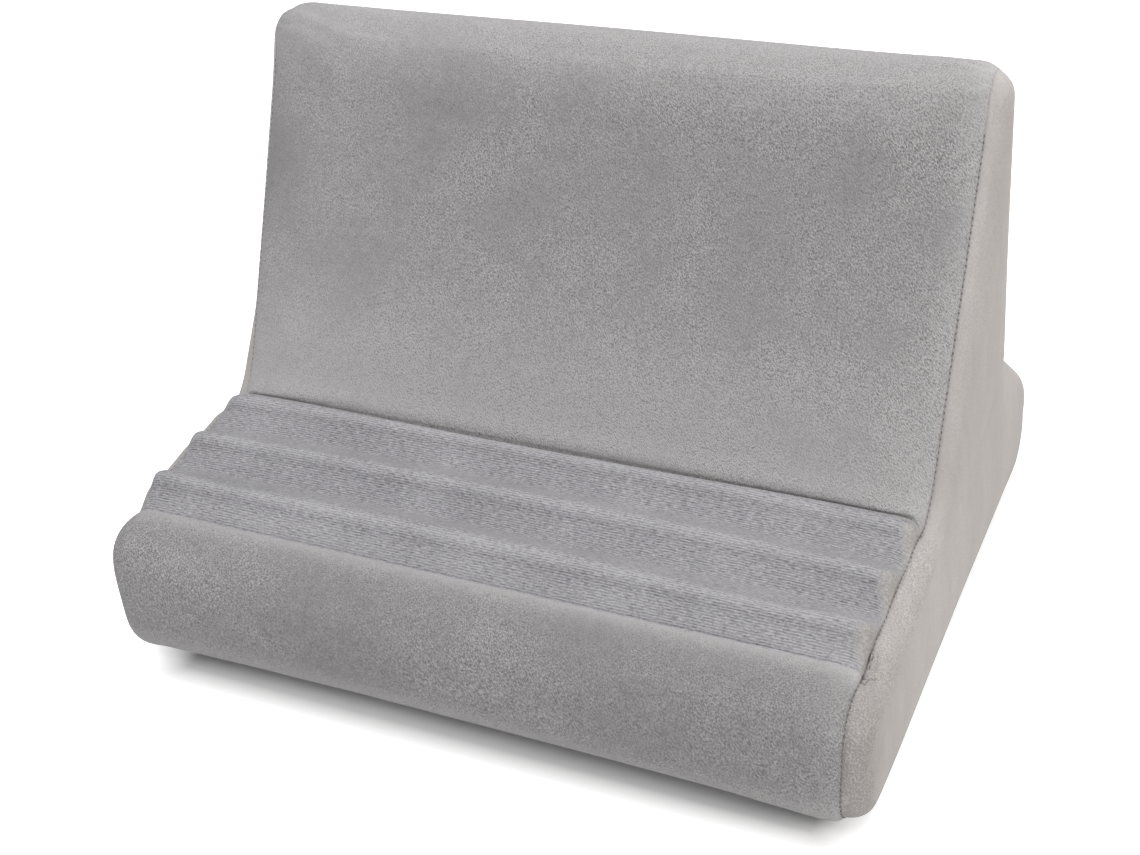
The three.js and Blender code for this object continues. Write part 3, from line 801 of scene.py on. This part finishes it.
# Cover: all panels as grids on one closed form, swollen together, then cut apart at the seams
coverSet = {
    "backrest": {"material": plush, "node": "backrest_panel", "slot": "plush", "thick": 2.0},
    "base": {"material": plush, "node": "base_panel", "slot": "plush", "thick": 2.0},
    "ledge": {"material": knit, "node": "ledge_panel", "slot": "ribbed_knit", "thick": 1.6},
    "leftEnd": {"material": paintedSideLitPlush, "node": "left_end_panel", "slot": "end_plush", "thick": 2.0},
    "rightEnd": {"material": paintedSideLitPlush, "node": "right_end_panel", "slot": "end_plush", "thick": 2.0},
}
stripPlain = bpy.data.materials.new("strip")
stripStart = where["strip"][0]
ledgeStart, ledgeCount = where["ledge"]
openRows = np.nonzero(np.abs(stations) <= section["zipEnd"] + 0.01)[0]
leftRows = np.arange(0, openRows[0] + 1)
rightRows = np.arange(openRows[-1], len(stations))
baseStart = stripStart + 3
panels = [
    ("backrest", wrapPanel("backrest", 0, stripStart + 1, plush)),
    ("base", wrapPanel("base", baseStart, ledgeStart - baseStart, plush)),
    ("ledge", wrapPanel("ledge", ledgeStart, ledgeCount, knit)),
    ("strip", wrapPanel("strip", stripStart + 1, 2, stripPlain, openRows)),
]
for rows in (leftRows, rightRows):
    panels.append(("backrest", wrapPanel("above zip", stripStart + 1, 1, plush, rows)))
    panels.append(("base", wrapPanel("below zip", stripStart + 2, 1, plush, rows)))
for name, side in [("leftEnd", -1), ("rightEnd", 1)]:
    panels += [(name, block) for block in endPanel(name, side, paintedSideLitPlush)]

# each panel has a material slot of its own while they are one piece, so that they can be cut apart again
tags = {name: bpy.data.materials.new("panel " + name) for name in [*coverSet, "strip"]}
for name, panel in panels:
    panel.data.materials[0] = tags[name]
cover = joined([panel for name, panel in panels])
bpy.ops.object.mode_set(mode="EDIT")
bpy.ops.mesh.select_all(action="SELECT")
bpy.ops.mesh.remove_doubles(threshold=weldGap)
bpy.ops.mesh.normals_make_consistent(inside=False)
bpy.ops.object.mode_set(mode="OBJECT")
print("cover joined:", len(cover.data.vertices), "points")


def readPlaces(mesh):
    places = np.zeros(len(mesh.vertices) * 3, dtype=np.float32)
    mesh.vertices.foreach_get("co", places)
    return places.reshape(-1, 3)


# Swelling of the sewn cover over its foam
swell = {"pressure": 4.0, "frames": 18, "cap": 2.2, "stiff": 20.0, "bend": 1.0, "mass": 0.25, "quality": 4}


def swellCover():
    startPlaces = readPlaces(cover.data).copy()
    cloth = cover.modifiers.new("swell", "CLOTH")
    cloth.settings.quality = swell["quality"]
    cloth.settings.mass = swell["mass"]
    cloth.settings.tension_stiffness = swell["stiff"]
    cloth.settings.compression_stiffness = swell["stiff"]
    cloth.settings.bending_stiffness = swell["bend"]
    cloth.settings.use_pressure = True
    cloth.settings.uniform_pressure_force = swell["pressure"]
    cloth.settings.vertex_group_mass = "seams"
    cloth.settings.effector_weights.gravity = 0
    cloth.collision_settings.use_collision = False
    for step in range(1, swell["frames"] + 1):
        scene.frame_set(step)
    choose(cover)
    bpy.ops.object.modifier_apply(modifier="swell")
    scene.frame_set(1)
    moved = readPlaces(cover.data) - startPlaces
    far = np.linalg.norm(moved, axis=1)[:, None]
    print("swelling, most", round(float(far.max()) * 1000, 2), "mm")
    cap = swell["cap"] * mm
    places = startPlaces + moved / np.maximum(far, 1e-9) * cap * np.tanh(far / cap)
    places[:, 2] = np.maximum(places[:, 2], 0)  # flat where it stands
    cover.data.vertices.foreach_set("co", places.reshape(-1))
    cover.data.update()


swellCover()
print("cover swollen")


# Cut the cover apart at its seams and give each panel the thickness of its cloth
def thicken(piece, thick):
    choose(piece)
    finer = piece.modifiers.new("finer", "SUBSURF")
    finer.levels = finer.render_levels = 1
    bpy.ops.object.modifier_apply(modifier="finer")
    solid = piece.modifiers.new("thick", "SOLIDIFY")
    solid.thickness = thick * mm
    solid.offset = -1
    bpy.ops.object.modifier_apply(modifier="thick")
    bpy.ops.object.shade_smooth()


choose(cover)
bpy.ops.object.mode_set(mode="EDIT")
bpy.ops.mesh.separate(type="MATERIAL")
bpy.ops.object.mode_set(mode="OBJECT")
cutPieces = list(bpy.context.selected_objects)
for piece in cutPieces:
    tag = piece.data.materials[piece.data.polygons[0].material_index].name[len("panel "):]
    if tag == "strip":
        bpy.data.objects.remove(piece)
        continue
    chosen = coverSet[tag]
    giveFinish(piece, chosen["material"])
    for face in piece.data.polygons:
        face.material_index = 0
    piece.name = piece.data.name = tag + "Cloth"
    thicken(piece, chosen["thick"])
    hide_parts(chosen["node"])
    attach(piece, "cushion")
print("panels cut:", len(cutPieces) - 1)


# Foam core, in millimetres: the closed form without its cloth, on a coarser grid
coreSet = {"under": 3.4, "endGap": 0.8, "everyStation": 2, "everyPoint": 3}


def foamCore():
    loops = []
    for loop in outlines:
        way = np.roll(loop, -2, 0) - np.roll(loop, 2, 0)
        way /= np.linalg.norm(way, axis=1)[:, None]
        loops.append(loop - coreSet["under"] * np.stack([-way[:, 1], way[:, 0]], 1))
    loops = np.array(loops)[::coreSet["everyStation"], ::coreSet["everyPoint"]]
    wide = stations[::coreSet["everyStation"]] * (halfWidth - coreSet["endGap"]) / halfWidth
    index = np.arange(loops.shape[1] + 1) % loops.shape[1]
    places = toFrame(wide[:, None], loops[:, index])
    flat = places[..., :2]
    core = layGrid("foamCore", places, flat, flat, foamStuff, np.zeros(places.shape[:2], dtype=bool))
    core.vertex_groups.clear()
    bpy.ops.object.mode_set(mode="EDIT")
    bpy.ops.mesh.select_all(action="SELECT")
    bpy.ops.mesh.remove_doubles(threshold=weldGap)
    bpy.ops.mesh.select_all(action="DESELECT")
    bpy.ops.mesh.select_non_manifold()
    bpy.ops.mesh.edge_face_add()
    bpy.ops.mesh.select_all(action="SELECT")
    bpy.ops.mesh.normals_make_consistent(inside=False)
    bpy.ops.object.mode_set(mode="OBJECT")
    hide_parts("foam_core")
    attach(core, "cushion")


foamCore()
print("foam core made")


# Stitches of the end seams, in millimetres, all round but for the top, where the pile covers them
stitchSet = {
    "pitch": 2.4,
    "long": 1.0,
    "thick": 0.35,
    "out": 0.1,
    "beside": 0.1,
    "belowTop": 20.0,
    "look": 0.3,  # how far ahead and back its direction is taken
}


def endStitches(name, side):
    row = -1 if side > 0 else 0
    loop = np.concatenate([outlines[row], outlines[row][:1]])
    total = lengths(loop)[-1]
    count = int(total / stitchSet["pitch"])
    shares = (np.arange(count) + 0.5) / count
    at = resample(loop, shares)
    ahead = resample(loop, np.clip(shares + stitchSet["look"] / total, 0, 1))
    back = resample(loop, np.clip(shares - stitchSet["look"] / total, 0, 1))
    size = Matrix.Diagonal((stitchSet["long"], stitchSet["thick"], stitchSet["thick"], 1))
    deselect()
    bpy.ops.mesh.primitive_uv_sphere_add(segments=8, ring_count=6, radius=0.5 * mm)
    model = bpy.context.object
    copies = []
    for k in range(count):
        if at[k][1] > section["height"] - stitchSet["belowTop"]:
            continue
        way = (ahead[k] - back[k]) / np.linalg.norm(ahead[k] - back[k])
        out = np.array([-way[1], way[0]])
        spot = toFrame(np.array(side * (halfWidth + stitchSet["beside"])), at[k] + out * stitchSet["out"])
        run = Vector((0, way[0], way[1]))
        away = Vector((0, out[0], out[1]))
        turn = Matrix((run, away, run.cross(away))).transposed().to_4x4()
        copy = bpy.data.objects.new(name + str(k), model.data.copy())
        copy.data.transform(Matrix.Translation(spot) @ turn @ size)
        scene.collection.objects.link(copy)
        copies.append(copy)
    thread = joined(copies)
    thread.name = thread.data.name = name
    giveFinish(thread, threadStuff)
    bpy.ops.object.shade_smooth()
    bpy.data.objects.remove(model)
    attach(thread, "cushion")


endStitches("leftStitches", -1)
endStitches("rightStitches", 1)
print("stitches sewn")


# Zip: woven tapes in place of the plain ones, the rest in better materials
tapeSet = {"weld": 0.00001, "edge": 0.0002}
zipFinish = {
    "zip_teeth_upper": nylon,
    "zip_teeth_lower": nylon,
    "zip_slider": alloy,
    "zip_pull": alloy,
    "zip_top_stop_upper": alloy,
    "zip_top_stop_lower": alloy,
    "zip_bottom_stop": alloy,
}


def zipTape(node):
    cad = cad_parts[node]
    tape = cad.copy()
    tape.data = cad.data.copy()
    tape.name = tape.data.name = node.replace("zip_", "").replace("_", "") + "Cloth"
    scene.collection.objects.link(tape)
    tape.parent = None
    tape.matrix_world = Matrix.Identity(4)
    choose(tape)
    bpy.ops.object.mode_set(mode="EDIT")
    bpy.ops.mesh.select_all(action="SELECT")
    bpy.ops.mesh.remove_doubles(threshold=tapeSet["weld"])
    bpy.ops.mesh.tris_convert_to_quads()
    bpy.ops.mesh.bevel(offset=tapeSet["edge"], segments=2)
    bpy.ops.object.mode_set(mode="OBJECT")
    giveFinish(tape, tapeStuff)
    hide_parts(node)
    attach(tape, "cushion")


for node in ("zip_tape_upper", "zip_tape_lower"):
    zipTape(node)
for node, material in zipFinish.items():
    giveFinish(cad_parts[node], material)
print("zip finished")


# Floor, backdrop and light
floorSet = {
    "radius": 0.85,
    "place": (0, 0, -0.0002),
    "seen": "#d4d4d4",
    "bounce": "#e6e6e6",
    "glow": 1.0,  # makes it white away from the shadow, past these limits across and along
    "middle": (0.009, 0.004),
    "shadeTo": (0.127, 0.13),
    "whiteFrom": (0.152, 0.148),
}
warmWhite = (1, 0.96, 0.91)
lamps = {
    "key": {"place": (0.35, 0.3, 1.5), "aim": (0, 0, 0.08), "size": 0.7, "power": 9.0},
    "fill": {"place": (-0.35, -1.0, 1.75), "aim": (0, 0, 0.1), "size": 1.2, "power": 22.0},
    "low": {"place": (-0.4, -1.7, 0.8), "aim": (0, 0, 0.1), "size": 1.2, "power": 7.0},
    "side": {"place": (1.55, -0.1, 0.7), "aim": (0, 0, 0.1), "size": 0.9, "power": 12.0, "colour": warmWhite},
    "rear": {"place": (0.1, 1.6, 0.9), "aim": (0, 0, 0.1), "size": 1.2, "power": 12.0},
}
worldLevel = 0.1


def seenDirectly(tree):
    rays = addNode(tree, "ShaderNodeLightPath").outputs
    seen = compute(tree, "MAXIMUM", rays["Is Camera Ray"], rays["Is Glossy Ray"])
    return compute(tree, "MAXIMUM", seen, rays["Is Transmission Ray"])


def addFloor():
    deselect()
    bpy.ops.mesh.primitive_circle_add(vertices=96, radius=floorSet["radius"], fill_type="NGON")
    floor = bpy.context.object
    floor.name = "floor"
    floor.location = floorSet["place"]
    made, tree, shader = newMaterial("pale floor", {"Roughness": 0.9, "Emission Color": (1, 1, 1, 1)})
    toCamera = addNode(tree, "ShaderNodeLightPath").outputs["Is Camera Ray"]
    colour = addNode(tree, "ShaderNodeMix", {"Factor": toCamera}, data_type="RGBA")
    colour.inputs[6].default_value = hexColour(floorSet["bounce"])
    colour.inputs[7].default_value = hexColour(floorSet["seen"])
    tree.links.new(colour.outputs[2], shader.inputs["Base Color"])
    past = []
    limits = zip(floorSet["middle"], floorSet["shadeTo"], floorSet["whiteFrom"])
    for place, (middle, low, high) in zip(split(tree, objectPlaces(tree)), limits):
        away = compute(tree, "ABSOLUTE", compute(tree, "ADD", place, -middle))
        past.append(spread(tree, away, low, high))
    corner = addNode(tree, "ShaderNodeCombineXYZ", {"X": past[0], "Y": past[1]}).outputs[0]
    beyond = addNode(tree, "ShaderNodeVectorMath", {0: corner}, operation="LENGTH").outputs["Value"]
    white = spread(tree, beyond, last=floorSet["glow"])
    glow = compute(tree, "MULTIPLY", seenDirectly(tree), white)
    tree.links.new(glow, shader.inputs["Emission Strength"])
    floor.data.materials.append(made)


def addLamp(name, place, aim, size, power, colour=(1, 1, 1)):
    data = bpy.data.lights.new(name, "AREA")
    data.shape = "DISK"
    data.size = size
    data.energy = power
    data.color = colour
    lamp = bpy.data.objects.new(name, data)
    lamp.location = place
    way = Vector(aim) - Vector(place)
    lamp.rotation_euler = way.to_track_quat("-Z", "Y").to_euler()
    scene.collection.objects.link(lamp)


def addWorld():
    world = bpy.data.worlds.new("studio")
    scene.world = world
    world.use_nodes = True
    tree = world.node_tree
    ground = tree.nodes["Background"]
    ground.inputs["Color"].default_value = (1, 1, 1, 1)
    level = spread(tree, seenDirectly(tree), first=worldLevel)
    tree.links.new(level, ground.inputs["Strength"])


addFloor()
addWorld()
for name, lamp in lamps.items():
    addLamp(name, **lamp)
scene.view_settings.view_transform = "Standard"
print("stage lit")
